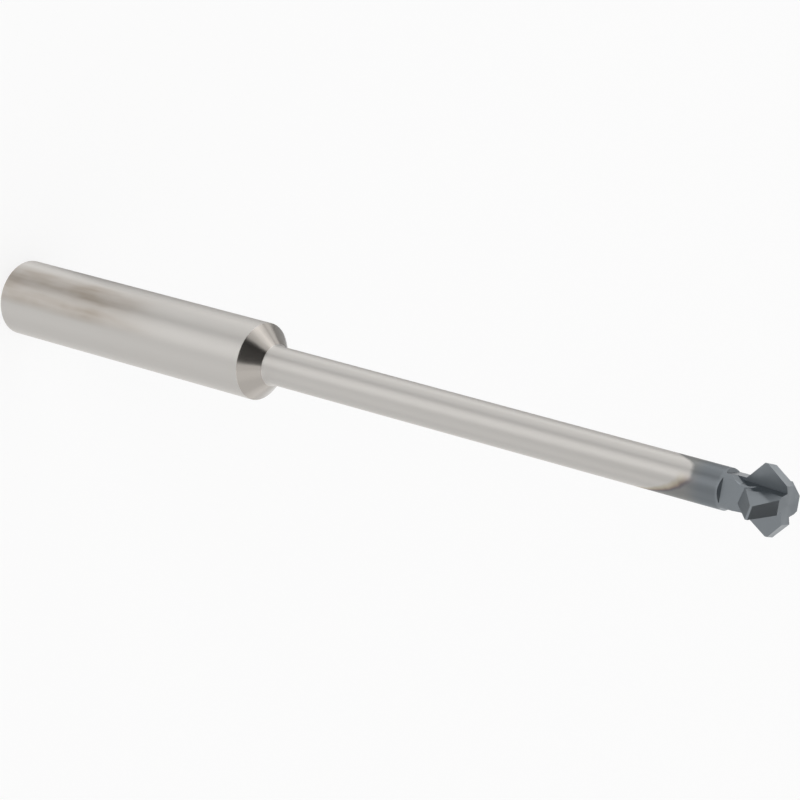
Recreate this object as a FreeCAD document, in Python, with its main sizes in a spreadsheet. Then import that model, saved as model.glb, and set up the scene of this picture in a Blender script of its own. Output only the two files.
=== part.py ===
"""Double-angle cutter: one piece of ground carbide with a round shank, a thin neck and a four-tooth V head.

Millimetres. +Z runs along the tool's axis, from the flat rear face of the shank (z = 0) to the front face of
the head. The first tooth points along +X. Its cutting face lies in the XZ plane and faces +Y, so the tool cuts
right-handed.
"""
import os

import FreeCAD
import Part
import Sketcher

SHEET = "Sizes"
NODE = "cutter"

# How far teeth and cuts are drawn past the faces that they meet, as shares of a size.
ROOT_SHARE = 0.9
INSIDE_SHARE = 0.1
OUTSIDE_SHARE = 1.5
RADIUS_MATCH = 1e-4

# Driving dimensions: alias, value and what it measures. Lengths are in millimetres and angles in degrees.
SIZES = (
    ("overall_length", 76.2, "rear face of the shank to the front face of the head"),
    ("shank_diameter", 6.35, "the clamped diameter"),
    ("shank_length", 27.0, "rear face to the front rim of the shank"),
    ("rear_chamfer", 0.5, "45 degree chamfer on the rear rim"),
    ("shoulder_angle", 45.0, "cone between shank and neck, from the axis"),
    ("shoulder_fillet", 0.4, "radius where the cone runs into the neck"),
    ("neck_diameter", 3.175, "straight neck"),
    ("cutter_diameter", 6.1, "circle of the tooth tips"),
    ("tip_setback", 1.6, "front face back to the middle of the tooth tips"),
    ("tip_flat", 0.2, "flat on the tip of each tooth, along the axis"),
    ("flank_angle", 45.0, "each flank of the V, from the axis"),
    ("tooth_count", 4, "teeth, evenly spaced"),
    ("tooth_thickness", 1.12, "cutting face to the back wall of a tooth"),
    ("front_relief", 18.0, "fall of the front flank behind its cutting edge"),
    ("back_relief", 29.0, "fall of the back flank behind its cutting edge"),
    ("flute_floor_front", 0.95, "axis to the flute floor at the front face"),
    ("flute_floor_back", 1.11, "axis to the flute floor where it starts to run out"),
    ("flute_rise", 9.5, "slope of the flute floor away from the cutting face"),
    ("flute_length", 3.4, "front face back to where the floor starts to run out"),
    ("flute_ramp", 22.0, "slope of the run-out, from the axis"),
    ("heel_start", 0.7, "cutting face to where the floor turns up into the heel of the next tooth"),
    ("heel_taper", 8.0, "slope of that heel, so that the teeth thin towards their tips"),
    ("relief_flat_floor", 1.27, "axis to the ground flats behind the head"),
    ("relief_flat_turn", 25.0, "turn of each flat behind its cutting face"),
    ("relief_flat_start", 4.85, "front face back to where the flats start"),
    ("relief_flat_ramp", 65.0, "slope of the step at the start of the flats, from the axis"),
    ("relief_flat_width", 2.0, "width of each flat's grinding pass"),
)


def cell(alias):
    return f"{SHEET}.{alias}"


def tangent(alias):
    return f"tan({cell(alias)} * 1 deg)"


# Places worked out from the cells, as expressions that the sketches and features use.
AXIS = "0"
FRONT = cell("overall_length")
SHANK_R = f"({cell('shank_diameter')} / 2)"
SHANK_END = cell("shank_length")
NECK_R = f"({cell('neck_diameter')} / 2)"
NECK_START = f"({SHANK_END} + ({SHANK_R} - {NECK_R}) / {tangent('shoulder_angle')})"
TIP_R = f"({cell('cutter_diameter')} / 2)"
TIP_Z = f"({FRONT} - {cell('tip_setback')})"
TIP_BACK = f"({TIP_Z} - {cell('tip_flat')} / 2)"
TIP_FRONT = f"({TIP_Z} + {cell('tip_flat')} / 2)"
FLANK = tangent("flank_angle")
HEAD_BACK = f"({TIP_BACK} - ({TIP_R} - {NECK_R}) / {FLANK})"
FLUTE_END = f"({FRONT} - {cell('flute_length')})"
FLAT_START = f"({FRONT} - {cell('relief_flat_start')})"
# Teeth and cuts are drawn past the faces that they meet, so that no two faces only touch.
ROOT_R = f"({cell('flute_floor_front')} * {ROOT_SHARE})"
INSIDE = f"(-{cell('tooth_thickness')} * {INSIDE_SHARE})"
OUTSIDE = f"({TIP_R} * {OUTSIDE_SHARE})"
PAST_FRONT = f"({FRONT} + {cell('tip_setback')} / 2)"


def make_sheet(doc):
    sheet = doc.addObject("Spreadsheet::Sheet", SHEET)
    for row, (alias, value, note) in enumerate(SIZES, start=1):
        sheet.set(f"A{row}", alias.replace("_", " "))
        sheet.set(f"B{row}", str(value))
        sheet.setAlias(f"B{row}", alias)
        sheet.set(f"C{row}", note)
    doc.recompute()
    return sheet


def origin_feature(body, role):
    return next(feature for feature in body.Origin.OriginFeatures if feature.Role == role)


def make_sketch(body, name, plane="XZ_Plane"):
    sketch = body.newObject("Sketcher::SketchObject", name)
    sketch.AttachmentSupport = [(origin_feature(body, plane), "")]
    sketch.MapMode = "FlatFace"
    body.Document.recompute()
    return sketch


def draw_outline(sketch, corners):
    """Closes a polygon through corners, each given by two expressions: distance from the axis, and height."""
    places = [tuple(float(sketch.evalExpression(text)) for text in corner) for corner in corners]
    vectors = [FreeCAD.Vector(across, along, 0) for across, along in places]
    count = len(corners)
    for i in range(count):
        sketch.addGeometry(Part.LineSegment(vectors[i], vectors[(i + 1) % count]), False)
    for i in range(count):
        sketch.addConstraint(Sketcher.Constraint("Coincident", i, 2, (i + 1) % count, 1))
    for i, corner in enumerate(corners):
        for kind, text, place in zip(("DistanceX", "DistanceY"), corner, places[i]):
            index = sketch.addConstraint(Sketcher.Constraint(kind, -1, 1, i, 1, place))
            sketch.setExpression(f"Constraints[{index}]", text)


def make_blank(body):
    """Shank, shoulder cone and neck turned in one, with the core of the head at the front."""
    sketch = make_sketch(body, "blank_profile")
    draw_outline(sketch, (
        (AXIS, "0"),
        (f"{SHANK_R} - {cell('rear_chamfer')}", "0"),
        (SHANK_R, cell("rear_chamfer")),
        (SHANK_R, SHANK_END),
        (NECK_R, NECK_START),
        (NECK_R, HEAD_BACK),
        (ROOT_R, TIP_Z),
        (AXIS, TIP_Z),
    ))
    blank = body.newObject("PartDesign::Revolution", "blank")
    blank.Profile = sketch
    blank.ReferenceAxis = (sketch, ["V_Axis"])
    blank.Angle = 360
    body.Tip = blank
    body.Document.recompute()
    return blank


def fillet_shoulder(body, blank):
    """Rounds the inside corner where the shoulder cone runs into the neck."""
    sheet = body.Document.getObject(SHEET)
    neck_r = float(sheet.neck_diameter) / 2
    corner = [
        f"Edge{i}" for i, edge in enumerate(blank.Shape.Edges, start=1)
        if isinstance(edge.Curve, Part.Circle)
        and abs(edge.Curve.Radius - neck_r) < RADIUS_MATCH
        and edge.Curve.Center.z < float(sheet.overall_length) / 2
    ]
    fillet = body.newObject("PartDesign::Fillet", "shoulder_round")
    fillet.Base = (blank, corner)
    fillet.setExpression("Radius", cell("shoulder_fillet"))
    body.Tip = fillet
    body.Document.recompute()
    return fillet


def make_tooth(body):
    """One tooth: the V on its cutting face, carried back on a slant that clears both flanks and the tip."""
    sketch = make_sketch(body, "cutting_profile")
    back_root = f"({TIP_BACK} - ({TIP_R} - {ROOT_R}) / {FLANK})"
    draw_outline(sketch, (
        (INSIDE, TIP_BACK),
        (ROOT_R, back_root),
        (TIP_R, TIP_BACK),
        (TIP_R, TIP_FRONT),
        (f"{TIP_R} - ({PAST_FRONT} - {TIP_FRONT}) * {FLANK}", PAST_FRONT),
        (INSIDE, PAST_FRONT),
    ))
    tooth = body.newObject("PartDesign::Pad", "tooth")
    tooth.Profile = sketch
    tooth.Type = "Length"
    tooth.setExpression("Length", f"{cell('tooth_thickness')} * 1 mm")
    # Per millimetre behind the cutting face, each flank moves towards the middle of the V by its relief.
    flank_sine = f"sin({cell('flank_angle')} * 1 deg)"
    back_shift = f"({tangent('back_relief')} / {flank_sine})"
    front_shift = f"({tangent('front_relief')} / {flank_sine})"
    tooth.UseCustomVector = True
    tooth.AlongSketchNormal = True
    tooth.Direction = FreeCAD.Vector(0, -1, 0)
    tooth.setExpression("Direction.x", f"-({back_shift} + {front_shift}) / 2 * {FLANK}")
    tooth.setExpression("Direction.z", f"({back_shift} - {front_shift}) / 2")
    tooth.Refine = True
    body.Tip = tooth
    body.Document.recompute()
    return tooth


def make_flute(body, name, start, slant):
    """One cut along a flute, run out on the neck. It begins at start, measured behind the cutting face."""
    sketch = make_sketch(body, f"{name}_profile")
    sketch.AttachmentOffset = FreeCAD.Placement(FreeCAD.Vector(0, 0, -1), FreeCAD.Rotation())
    sketch.setExpression("AttachmentOffset.Base.z", f"-{start} * 1 mm")
    slope = f"(({cell('flute_floor_back')} - {cell('flute_floor_front')}) / {cell('flute_length')})"
    ramp_length = f"(({OUTSIDE} - {cell('flute_floor_back')}) / {tangent('flute_ramp')})"
    rise = f"{start} * {tangent('flute_rise')}"
    draw_outline(sketch, (
        (f"{cell('flute_floor_back')} + {rise}", FLUTE_END),
        (f"{cell('flute_floor_front')} - {slope} * ({PAST_FRONT} - {FRONT}) + {rise}", PAST_FRONT),
        (f"{OUTSIDE} + {rise}", PAST_FRONT),
        (f"{OUTSIDE} + {rise}", f"{FLUTE_END} - {ramp_length}"),
    ))
    flute = body.newObject("PartDesign::Pocket", name)
    flute.Profile = sketch
    flute.Type = "Length"
    flute.setExpression("Length", f"{TIP_R} * 1 mm")
    flute.UseCustomVector = True
    flute.AlongSketchNormal = True
    flute.Direction = FreeCAD.Vector(0, 1, 0)
    flute.setExpression("Direction.x", slant)
    flute.Refine = True
    body.Tip = flute
    body.Document.recompute()
    return flute


def make_relief_flat(body):
    """One flat on the neck behind a tooth, where the wheel that grinds its back flank clears the neck."""
    sketch = make_sketch(body, "relief_flat_profile")
    turned = FreeCAD.Rotation(FreeCAD.Vector(0, 1, 0), -1)
    sketch.AttachmentOffset = FreeCAD.Placement(FreeCAD.Vector(), turned)
    sketch.setExpression("AttachmentOffset.Rotation.Angle", f"-{cell('relief_flat_turn')} * 1 deg")
    floor = cell("relief_flat_floor")
    height = f"(({NECK_R} - {floor}) * 2)"
    draw_outline(sketch, (
        (floor, FLAT_START),
        (floor, FRONT),
        (f"{floor} + {height}", FRONT),
        (f"{floor} + {height}", f"{FLAT_START} - {height} / {tangent('relief_flat_ramp')}"),
    ))
    flat = body.newObject("PartDesign::Pocket", "relief_flat")
    flat.Profile = sketch
    flat.Type = "Length"
    flat.Midplane = True
    flat.setExpression("Length", f"{cell('relief_flat_width')} * 1 mm")
    body.Tip = flat
    body.Document.recompute()
    return flat


def face_front(body):
    """Grinds the front of the four teeth to one flat face."""
    sketch = make_sketch(body, "front_face_profile")
    draw_outline(sketch, (
        (f"-{OUTSIDE}", FRONT),
        (OUTSIDE, FRONT),
        (OUTSIDE, f"{PAST_FRONT} + {cell('tip_setback')}"),
        (f"-{OUTSIDE}", f"{PAST_FRONT} + {cell('tip_setback')}"),
    ))
    face = body.newObject("PartDesign::Pocket", "front_face")
    face.Profile = sketch
    face.Type = "Length"
    face.Midplane = True
    face.setExpression("Length", f"{OUTSIDE} * 2 * 1 mm")
    face.Refine = True
    body.Tip = face
    body.Document.recompute()
    return face


def repeat_round_axis(body, feature, name):
    pattern = body.newObject("PartDesign::PolarPattern", name)
    pattern.Originals = [feature]
    pattern.Axis = (origin_feature(body, "Z_Axis"), [""])
    pattern.Angle = 360
    pattern.setExpression("Occurrences", cell("tooth_count"))
    pattern.Refine = True
    body.Tip = pattern
    body.Document.recompute()
    return pattern


def check(doc, body):
    """Stops the build if a feature failed or the solid isn't one valid solid."""
    failed = [item.Name for item in doc.Objects if {"Invalid", "Error"} & set(item.State)]
    if failed:
        raise RuntimeError(f"these features failed: {failed}")
    shape = body.Shape
    if shape.isNull() or not shape.isValid() or len(shape.Solids) != 1:
        raise RuntimeError(f"{NODE} is not one valid solid")


def main():
    doc = FreeCAD.newDocument("double_angle_cutter")
    make_sheet(doc)
    body = doc.addObject("PartDesign::Body", NODE)
    body.Label = NODE
    steps = []
    steps.append(make_blank(body))
    steps.append(fillet_shoulder(body, steps[0]))
    steps.append(make_relief_flat(body))
    steps.append(repeat_round_axis(body, steps[-1], "relief_flats"))
    steps.append(make_tooth(body))
    steps.append(repeat_round_axis(body, steps[-1], "teeth"))
    steps.append(make_flute(body, "flute", "0", tangent("flute_rise")))
    steps.append(repeat_round_axis(body, steps[-1], "flutes"))
    steps.append(make_flute(body, "heel", cell("heel_start"), f"-{tangent('heel_taper')}"))
    steps.append(repeat_round_axis(body, steps[-1], "heels"))
    steps.append(face_front(body))
    for step in steps:
        shape = step.Shape
        print(step.Name, step.State, round(shape.Volume, 3), shape.isValid(), len(shape.Solids))
    check(doc, body)
    os.makedirs("parts", exist_ok=True)
    body.Shape.exportStep(f"parts/{NODE}.step")


main()
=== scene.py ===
"""Double-angle cutter: the finish of one ground carbide tool and the stage that it stands on.

The tool stands on the rear face of its shank, with +Z along its axis. The scene is in metres. Heights and
noise spacings of the finish are in millimetres, and directions are in degrees, seen from the tool.
"""
import math

import bpy
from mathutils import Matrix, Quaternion, Vector

bl_info = {
    "name": "Double-angle cutter finish",
    "version": (1, 0, 0),
    "blender": (4, 5, 0),
    "location": "3D View > Sidebar > Cutter",
    "description": "Finishes a ground and coated carbide cutter and sets up its stage",
    "category": "Object",
}

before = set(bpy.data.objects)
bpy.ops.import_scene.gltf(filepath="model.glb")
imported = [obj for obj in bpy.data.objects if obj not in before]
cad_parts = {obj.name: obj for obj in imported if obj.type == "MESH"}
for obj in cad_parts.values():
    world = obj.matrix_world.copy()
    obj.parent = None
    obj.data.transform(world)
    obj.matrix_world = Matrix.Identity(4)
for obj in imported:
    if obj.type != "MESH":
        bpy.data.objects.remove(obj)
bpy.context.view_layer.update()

NODE = "cutter"
MM = 0.001

# Finish: heights on the axis between which something starts or ends.
CONE_START = (27.0, 27.05)
CONE_END = (28.5, 28.4)
STAIN_FADE = (20.0, 9.0)
COATING_FULL = (68.0, 70.0)
HEAD_START = (71.0, 71.2)

# Finish: heights over the coating's edge between which the film and its straw-coloured band start or end.
FILM_START = (-0.2, 0.35)
TINT_START = (-1.3, -0.8)
TINT_END = (0.6, 0.3)
EDGE_WAVER = 0.8

# Finish: where on the round of the tool the stain and the straw band lie. The stain is a spot, as below.
STAIN = (36, 0, 38, 14)
TINT_AZIMUTH = 115
TINT_REACH = (0.2, 0.8)
STRAW_STOPS = ((0.36, "#BBB3A3"), (0.46, "#9C8F84"), (0.53, "#7A7476"), (0.62, "#858688"))
STRAW_FIRST = 0.20
STRAW_PER_MM = 0.25

# Finish: spacings of the noises, across and along the tool.
WAVER_SPACING = 0.9
STREAK_SPACING = (0.8, 0.8, 9.0)
PATCH_SPACING = (1.4, 1.4, 4.0)
GRAIN_SPACING = (0.35, 0.35, 0.25)
MARK_LENGTH = 3.0

# Finish: how rough the shank and neck are, and how much smoother the cone and the head are than that.
ROUGHNESS = 0.45
CONE_CHANGE = -0.33
HEAD_CHANGE = -0.17
BUMP_STRENGTH = 0.5
BUMP_DEPTH = 0.001
MARK_SHARE = 0.6
GRAIN_SHARE = 0.4

# World: light from around the tool, as azimuth and level. Panels and the gaps between them stand here, and
# the ground metal shows each as a streak along the tool.
AROUND = (
    (-180, 1.10), (-153, 1.30), (-137, 1.25), (-125, 1.05), (-113, 0.25), (-106, 0.00), (-69, 0.00),
    (-61, 1.10), (-49, 1.80), (-35, 1.95), (-17, 1.80), (-1, 1.75), (14, 1.05), (30, 2.40), (44, 2.80),
    (58, 2.60), (77, 1.45), (100, 1.40), (127, 1.10), (143, 0.95), (170, 0.95), (180, 1.10),
)
BRIGHTEST = 2.8

# World: soft spots, as azimuth, elevation, and outer and inner radius, each with its level or share.
DARK_CEILING = (30, 66, 33, 27)
DARK_LEVEL = 0.03
LOW_PANEL = (-60, 12, 28, 8)
LOW_PANEL_LEVELS = (0.4, 1.15)
DIMMED = (-12, 48, 34, 8)
DIMMED_SHARES = (1.0, 0.62)
WINDOW = (-102, 29, 14, 8)
WINDOW_LEVEL = 1.0

# World: elevations between which the ceiling starts and the low panel ends.
CEILING_START = (32, 48)
CEILING_LEVEL = 1.0
LOW_PANEL_END = (22, 15)

# Stage.
FLOOR_RADIUS = 3.0
FLOOR_GLOW = 0.75
SENSOR_WIDTH = 36.0
CLIP_START = 0.01
LAMP_SIZE = 0.004
LAMP_POWER = 0.0000018
LAMP_SPREAD = 30
LAMP_TOWARDS = (-85, 6)
LAMP_DISTANCE = 0.012
TOP_TOOTH = Vector((0.0025, -0.0003, 0.0755))
NEAR_TOOTH = Vector((0.0, 0.0025, 0.0755))


def linear(hex_colour):
    """Turns an sRGB hex colour into the linear colour that a node takes."""
    channels = [int(hex_colour[i:i + 2], 16) / 255 for i in (1, 3, 5)]
    return (*[c / 12.92 if c <= 0.04045 else ((c + 0.055) / 1.055) ** 2.4 for c in channels], 1.0)


def aim(azimuth, elevation):
    """Unit vector towards an azimuth and elevation in degrees."""
    a, e = math.radians(azimuth), math.radians(elevation)
    return Vector((math.cos(e) * math.cos(a), math.cos(e) * math.sin(a), math.sin(e)))


def facing(direction):
    """Turn of a card, a lamp or a camera whose +Z points along a direction."""
    return direction.to_track_quat("Z", "Y")


def add_node(tree, kind, inputs=None, **settings):
    """Adds a node with its settings. Inputs are values, or sockets or nodes to link from."""
    node = tree.nodes.new(kind)
    for name, value in settings.items():
        setattr(node, name, value)
    for key, value in (inputs or {}).items():
        if isinstance(value, bpy.types.Node):
            value = next(output for output in value.outputs if output.enabled)
        if isinstance(value, bpy.types.NodeSocket):
            tree.links.new(value, node.inputs[key])
        else:
            node.inputs[key].default_value = value
    return node


def new_tree(owner):
    """Gives a material or a world an empty node tree."""
    owner.use_nodes = True
    owner.node_tree.nodes.clear()
    return owner.node_tree


def product(tree, first, *others):
    """Chains up the product of several numbers."""
    for other in others:
        first = add_node(tree, "ShaderNodeMath", {0: first, 1: other}, operation="MULTIPLY")
    return first


def overlap(tree, *ranges):
    """Share where soft-edged ranges overlap: each a value, its edges, and its results if not 0 and 1."""
    shares = []
    for value, edges, *results in ranges:
        outside, inside = results[0] if results else (0.0, 1.0)
        shares.append(add_node(tree, "ShaderNodeMapRange", {
            "Value": value, "From Min": edges[0], "From Max": edges[1], "To Min": outside, "To Max": inside,
        }, interpolation_type="SMOOTHSTEP"))
    return product(tree, *shares)


def spot(tree, vector, place, *results):
    """Soft round spot: its place is an azimuth, an elevation, and an outer and an inner radius."""
    azimuth, elevation, *radii = place
    reach = add_node(tree, "ShaderNodeVectorMath", {0: vector, 1: aim(azimuth, elevation)},
                     operation="DOT_PRODUCT")
    return overlap(tree, (reach, [math.cos(math.radians(radius)) for radius in radii], *results))


def between(tree, height, elevations):
    """Soft step between two elevations, from the height of a direction."""
    return overlap(tree, (height, [math.sin(math.radians(elevation)) for elevation in elevations]))


def noise(tree, position, spacing, detail=2.0):
    """Noise between 0 and 1 whose blotches are about spacing apart. Three spacings stretch it."""
    spacings = spacing if isinstance(spacing, tuple) else (spacing,) * 3
    placed = add_node(tree, "ShaderNodeMapping", {
        "Vector": position, "Scale": [1 / size for size in spacings]})
    return add_node(tree, "ShaderNodeTexNoise", {
        "Vector": placed, "Scale": 1.0, "Detail": detail, "Roughness": 0.5})


def fill_colour_ramp(node, stops):
    """Gives a Color Ramp node its stops, each a place from 0 to 1 and a colour."""
    elements = node.color_ramp.elements
    for element, (place, colour) in zip(elements, (stops[0], stops[-1])):
        element.position, element.color = place, colour
    for place, colour in stops[1:-1]:
        elements.new(place).color = colour


# Cards that only the tool's own reflections show: name, size, centre, turn and colour.
CARDS = (
    ("black_card", (0.056, 0.056), NEAR_TOOTH + aim(84, 57) * 0.06, facing(aim(84, 57)), "#101010"),
    ("grey_card", (0.036, 0.036), aim(-100, 0) * 0.05 + Vector((0, 0, 0.018)),
     facing(aim(-100, 0)), "#AEAEAE"),
    # This strip lies flat on the floor beside the shank and greys the floor that the metal mirrors there: a
    # painted shadow of the table, which only the tool's reflection shows.
    ("grey_strip", (0.083, 0.026), Vector((-0.005, -0.049, 0.0004)),
     Quaternion((0, 0, 1), math.radians(-99.7)), "#9A9A9A"),
)


class CutterFinish(bpy.types.PropertyGroup):
    """Colours and sizes of the tool's finish."""
    carbide: bpy.props.StringProperty(
        name="Carbide", description="Colour of the bare ground carbide", default="#CECBC7")
    shoulder: bpy.props.StringProperty(
        name="Shoulder", description="Colour of the ground cone", default="#ADA8A2")
    stain: bpy.props.StringProperty(
        name="Stain", description="Colour of the brown stain on the shank", default="#A89D91")
    coating_start: bpy.props.StringProperty(
        name="Coating start", description="Colour of the thin coating near its edge", default="#8D8D8B")
    coating: bpy.props.StringProperty(
        name="Coating", description="Colour of the hard coating on the head", default="#7D8286")
    coating_edge: bpy.props.FloatProperty(
        name="Coating edge", description="Height on the axis where the coating ends",
        default=0.06495, unit="LENGTH")
    coating_lean: bpy.props.FloatProperty(
        name="Coating lean", description="Rise of the edge towards one side, as a slope", default=2.46)
    coating_side: bpy.props.FloatProperty(
        name="Coating side", description="Direction of the high side of the coating's edge",
        default=math.radians(43.0), subtype="ANGLE")
    grinding_pitch: bpy.props.FloatProperty(
        name="Grinding pitch", description="Spacing of the grinding marks along the tool",
        default=0.00012, unit="LENGTH")


class CutterStage(bpy.types.PropertyGroup):
    """The camera that looks at the tool."""
    azimuth: bpy.props.FloatProperty(
        name="Azimuth", description="Direction of the camera", default=math.radians(54.95), subtype="ANGLE")
    elevation: bpy.props.FloatProperty(
        name="Elevation", description="Height angle of the camera",
        default=math.radians(35.78), subtype="ANGLE")
    distance: bpy.props.FloatProperty(
        name="Distance", description="Camera to its target", default=0.23066, subtype="DISTANCE")
    target_height: bpy.props.FloatProperty(
        name="Target", description="Height of the target on the tool's axis",
        default=0.04122, subtype="DISTANCE")
    roll: bpy.props.FloatProperty(
        name="Roll", description="Turn of the camera about its view",
        default=math.radians(-105.32), subtype="ANGLE")
    lens: bpy.props.FloatProperty(
        name="Lens", description="Focal length on a 36 mm sensor", default=134.03, unit="CAMERA")
    shift_x: bpy.props.FloatProperty(
        name="Shift across", description="Sideways shift of the picture, as a share of its width",
        default=-0.00064)
    shift_y: bpy.props.FloatProperty(
        name="Shift up", description="Upward shift of the picture, as a share of its width", default=-0.00076)


class CUTTER_OT_finish(bpy.types.Operator):
    """Gives the tool its ground carbide and its coating"""
    bl_idname = "cutter.finish"
    bl_label = "Finish the cutter"

    def execute(self, context):
        finish = context.scene.cutter_finish
        # Cemented carbide, ground round: a light grey metal whose fine marks run round the tool, so that it
        # mirrors its surroundings as long soft streaks. The cone and the head are ground finer and mirror
        # more clearly. A hard coating makes the head a dark blue-grey, and fades through straw at its edge.
        material = bpy.data.materials.new("ground_carbide_with_coated_head")
        tree = new_tree(material)
        metres = add_node(tree, "ShaderNodeTexCoord").outputs["Object"]
        position = add_node(tree, "ShaderNodeVectorMath", {0: metres, "Scale": 1 / MM}, operation="SCALE")
        across = add_node(tree, "ShaderNodeVectorMath", {0: position, 1: (1, 1, 0)}, operation="MULTIPLY")
        around = add_node(tree, "ShaderNodeVectorMath", {0: across}, operation="NORMALIZE")
        up = add_node(tree, "ShaderNodeSeparateXYZ", {"Vector": position}).outputs["Z"]

        cone = overlap(tree, (up, CONE_START), (up, CONE_END))
        bare = self.bare_colour(tree, finish, position, around, up, cone)
        colour = self.coated_colour(tree, finish, position, around, up, bare)
        rough = ROUGHNESS
        for share, change in ((cone, CONE_CHANGE), (overlap(tree, (up, HEAD_START)), HEAD_CHANGE)):
            rough = add_node(tree, "ShaderNodeMath", {0: share, 1: change, 2: rough},
                             operation="MULTIPLY_ADD")
        metal = add_node(tree, "ShaderNodeBsdfPrincipled", {
            "Base Color": colour, "Metallic": 1.0, "Roughness": rough,
            "Anisotropic": 1.0, "Anisotropic Rotation": 0.25,
            "Tangent": add_node(tree, "ShaderNodeTangent", direction_type="RADIAL", axis="Z"),
            "Normal": self.grinding_marks(tree, finish, position),
        })
        add_node(tree, "ShaderNodeOutputMaterial", {"Surface": metal})
        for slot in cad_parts[NODE].material_slots:
            slot.material = material
        return {"FINISHED"}

    def bare_colour(self, tree, finish, position, around, up, cone):
        """Colour of the bare metal: shank, neck and cone, with the brown stain on the shank."""
        bare = add_node(tree, "ShaderNodeMix", {
            "Factor": cone, "A": linear(finish.carbide), "B": linear(finish.shoulder)}, data_type="RGBA")
        stained = product(tree, spot(tree, around, STAIN), overlap(
            tree,
            (up, STAIN_FADE),
            (noise(tree, position, STREAK_SPACING), (0.2, 0.75), (0.45, 1.0)),
            (noise(tree, position, PATCH_SPACING), (0.3, 0.7), (0.55, 1.1)),
        ))
        return add_node(tree, "ShaderNodeMix", {
            "Factor": stained, "A": bare, "B": linear(finish.stain)}, data_type="RGBA")

    def coated_colour(self, tree, finish, position, around, up, bare):
        """Colour with the coating, whose edge leans to one side, wavers, and shows straw where it is thin."""
        slope = aim(math.degrees(finish.coating_side), 0) * -finish.coating_lean
        height = add_node(tree, "ShaderNodeVectorMath", {0: position, 1: (slope.x, slope.y, 1.0)},
                          operation="DOT_PRODUCT")
        over_edge = add_node(tree, "ShaderNodeMath", {0: height, 1: finish.coating_edge / MM},
                             operation="SUBTRACT")
        waver = add_node(tree, "ShaderNodeMath", {0: noise(tree, position, WAVER_SPACING), 1: 0.5},
                         operation="SUBTRACT")
        over_edge = add_node(tree, "ShaderNodeMath", {0: waver, 1: EDGE_WAVER, 2: over_edge},
                             operation="MULTIPLY_ADD")

        coat = add_node(tree, "ShaderNodeMix", {
            "Factor": overlap(tree, (up, COATING_FULL)),
            "A": linear(finish.coating_start), "B": linear(finish.coating)}, data_type="RGBA")
        colour = add_node(tree, "ShaderNodeMix", {
            "Factor": overlap(tree, (over_edge, FILM_START)), "A": bare, "B": coat}, data_type="RGBA")
        straw = add_node(tree, "ShaderNodeValToRGB", {"Fac": add_node(
            tree, "ShaderNodeMath", {0: over_edge, 1: STRAW_PER_MM, 2: 0.5}, operation="MULTIPLY_ADD")})
        stops = ((STRAW_FIRST, finish.carbide), *STRAW_STOPS)
        fill_colour_ramp(straw, [(place, linear(hex_colour)) for place, hex_colour in stops])
        side = add_node(tree, "ShaderNodeVectorMath", {0: around, 1: aim(TINT_AZIMUTH, 0)},
                        operation="DOT_PRODUCT")
        tinted = overlap(tree, (side, TINT_REACH), (over_edge, TINT_START), (over_edge, TINT_END))
        return add_node(tree, "ShaderNodeMix", {"Factor": tinted, "A": colour, "B": straw}, data_type="RGBA")

    def grinding_marks(self, tree, finish, position):
        """Fine marks round the tool, with a grain, as a bumped normal."""
        marks = noise(tree, position, (MARK_LENGTH, MARK_LENGTH, finish.grinding_pitch / MM), detail=1.0)
        grain = product(tree, noise(tree, position, GRAIN_SPACING), GRAIN_SHARE)
        height = add_node(tree, "ShaderNodeMath", {0: marks, 1: MARK_SHARE, 2: grain},
                          operation="MULTIPLY_ADD")
        return add_node(tree, "ShaderNodeBump", {
            "Height": height, "Strength": BUMP_STRENGTH, "Distance": BUMP_DEPTH * MM})


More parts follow.
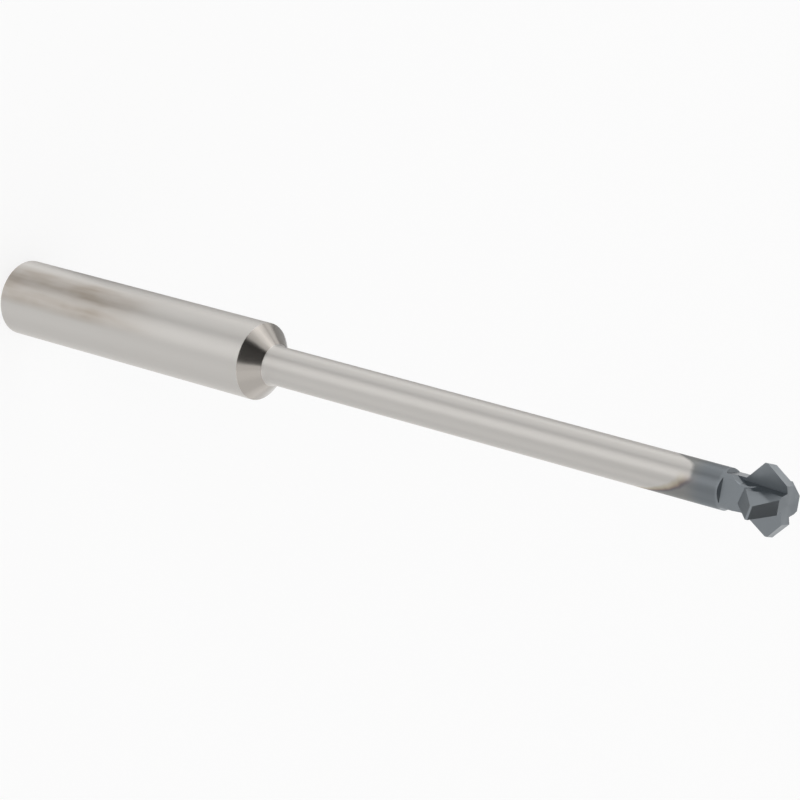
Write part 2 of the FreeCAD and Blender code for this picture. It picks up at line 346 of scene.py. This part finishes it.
class CUTTER_OT_stage(bpy.types.Operator):
    """Sets up the floor, the light and the camera"""
    bl_idname = "cutter.stage"
    bl_label = "Set up the stage"

    def execute(self, context):
        self.make_floor()
        self.make_world(context.scene)
        self.make_lamp(context.scene)
        for card in CARDS:
            self.make_card(*card)
        self.make_camera(context.scene)
        return {"FINISHED"}

    def make_floor(self):
        """A white table that glows for the camera and in the metal, and keeps the tool's shadow."""
        bpy.ops.mesh.primitive_circle_add(vertices=96, radius=FLOOR_RADIUS, fill_type="NGON")
        floor = bpy.context.object
        floor.name = "floor"
        material = bpy.data.materials.new("white_table")
        tree = new_tree(material)
        paper = add_node(tree, "ShaderNodeBsdfDiffuse", {"Color": linear("#FFFFFF")})
        glow = add_node(tree, "ShaderNodeEmission", {"Color": linear("#FFFFFF"), "Strength": 1.0})
        path = add_node(tree, "ShaderNodeLightPath").outputs
        seen = add_node(tree, "ShaderNodeMath", {0: path["Is Camera Ray"], 1: path["Is Glossy Ray"]},
                        operation="MAXIMUM")
        share = product(tree, seen, FLOOR_GLOW)
        surface = add_node(tree, "ShaderNodeMixShader", {0: share, 1: paper, 2: glow})
        add_node(tree, "ShaderNodeOutputMaterial", {"Surface": surface})
        floor.data.materials.append(material)

    def make_world(self, scene):
        """Panels all round, a ceiling with a dark patch, a low panel, a dimmed area and a window."""
        world = bpy.data.worlds.new("studio")
        scene.world = world
        tree = new_tree(world)
        direction = add_node(tree, "ShaderNodeTexCoord").outputs["Generated"]
        parts = add_node(tree, "ShaderNodeSeparateXYZ", {"Vector": direction}).outputs
        turn = add_node(tree, "ShaderNodeMath", {0: parts["Y"], 1: parts["X"]}, operation="ARCTAN2")
        panels = add_node(tree, "ShaderNodeValToRGB", {"Fac": add_node(
            tree, "ShaderNodeMath", {0: turn, 1: 0.5 / math.pi, 2: 0.5}, operation="MULTIPLY_ADD")})
        fill_colour_ramp(panels, [
            (azimuth / 360 + 0.5, (*[level / BRIGHTEST] * 3, 1.0)) for azimuth, level in AROUND])
        level = product(tree, panels, BRIGHTEST)
        for share, reached in (
            (between(tree, parts["Z"], CEILING_START), CEILING_LEVEL),
            (spot(tree, direction, DARK_CEILING), DARK_LEVEL),
        ):
            level = add_node(tree, "ShaderNodeMix", {"Factor": share, "A": level, "B": reached},
                             data_type="FLOAT")
        low_panel = product(tree, spot(tree, direction, LOW_PANEL, LOW_PANEL_LEVELS),
                            between(tree, parts["Z"], LOW_PANEL_END))
        level = add_node(tree, "ShaderNodeMath", {0: level, 1: low_panel}, operation="MAXIMUM")
        level = product(tree, level, spot(tree, direction, DIMMED, DIMMED_SHARES))
        level = add_node(tree, "ShaderNodeMix", {
            "Factor": spot(tree, direction, WINDOW), "A": level, "B": WINDOW_LEVEL}, data_type="FLOAT")
        seen = add_node(tree, "ShaderNodeLightPath").outputs["Is Camera Ray"]
        level = add_node(tree, "ShaderNodeMath", {0: level, 1: seen}, operation="MAXIMUM")
        background = add_node(tree, "ShaderNodeBackground", {"Color": (1, 1, 1, 1), "Strength": level})
        add_node(tree, "ShaderNodeOutputWorld", {"Surface": background})

    def make_lamp(self, scene):
        """A small lamp close to the head, which the land of the top tooth mirrors."""
        data = bpy.data.lights.new("small_lamp_by_the_head", "AREA")
        data.size = LAMP_SIZE
        data.energy = LAMP_POWER
        data.spread = math.radians(LAMP_SPREAD)
        lamp = bpy.data.objects.new(data.name, data)
        scene.collection.objects.link(lamp)
        towards = aim(*LAMP_TOWARDS)
        lamp.location = TOP_TOOTH + towards * LAMP_DISTANCE
        lamp.rotation_mode = "QUATERNION"
        lamp.rotation_quaternion = facing(towards)
        lamp.visible_camera = False

    def make_card(self, name, size, place, turn, hex_colour):
        """Puts up a card that only the tool's own reflections show."""
        bpy.ops.mesh.primitive_plane_add(size=1.0)
        card = bpy.context.object
        card.name = name
        card.scale = (*size, 1.0)
        card.location = place
        card.rotation_mode = "QUATERNION"
        card.rotation_quaternion = turn
        card.visible_camera = False
        card.visible_diffuse = False
        card.visible_shadow = False
        material = bpy.data.materials.new(name)
        tree = new_tree(material)
        matt = add_node(tree, "ShaderNodeBsdfDiffuse", {"Color": linear(hex_colour)})
        add_node(tree, "ShaderNodeOutputMaterial", {"Surface": matt})
        card.data.materials.append(material)

    def make_camera(self, scene):
        """The camera, placed and turned as it was fitted to the outlines of the tool."""
        stage = scene.cutter_stage
        data = bpy.data.cameras.new("camera")
        data.lens = stage.lens
        data.sensor_width = SENSOR_WIDTH
        data.shift_x = stage.shift_x
        data.shift_y = stage.shift_y
        data.clip_start = CLIP_START
        camera = bpy.data.objects.new("camera", data)
        scene.collection.objects.link(camera)
        back = aim(math.degrees(stage.azimuth), math.degrees(stage.elevation))
        camera.location = back * stage.distance + Vector((0, 0, stage.target_height))
        camera.rotation_mode = "QUATERNION"
        camera.rotation_quaternion = Quaternion(back, -stage.roll) @ facing(back)
        scene.camera = camera
        scene.view_settings.view_transform = "Standard"


class CUTTER_PT_sidebar(bpy.types.Panel):
    """Lists the steps that dress the cutter"""
    bl_idname = "CUTTER_PT_sidebar"
    bl_label = "Cutter"
    bl_space_type = "VIEW_3D"
    bl_region_type = "UI"
    bl_category = "Cutter"

    def draw(self, context):
        layout = self.layout
        for group in (context.scene.cutter_finish, context.scene.cutter_stage):
            for name in group.__annotations__:
                layout.prop(group, name)
        layout.operator(CUTTER_OT_finish.bl_idname)
        layout.operator(CUTTER_OT_stage.bl_idname)


CLASSES = (CutterFinish, CutterStage, CUTTER_OT_finish, CUTTER_OT_stage, CUTTER_PT_sidebar)


def register():
    for cls in CLASSES:
        bpy.utils.register_class(cls)
    bpy.types.Scene.cutter_finish = bpy.props.PointerProperty(type=CutterFinish)
    bpy.types.Scene.cutter_stage = bpy.props.PointerProperty(type=CutterStage)


def unregister():
    del bpy.types.Scene.cutter_stage
    del bpy.types.Scene.cutter_finish
    for cls in reversed(CLASSES):
        bpy.utils.unregister_class(cls)


def main():
    for name in ("Cube", "Light", "Camera"):
        if name in bpy.data.objects:
            bpy.data.objects.remove(bpy.data.objects[name])
    register()
    bpy.ops.cutter.finish()
    bpy.ops.cutter.stage()


if __name__ == "__main__":
    main()
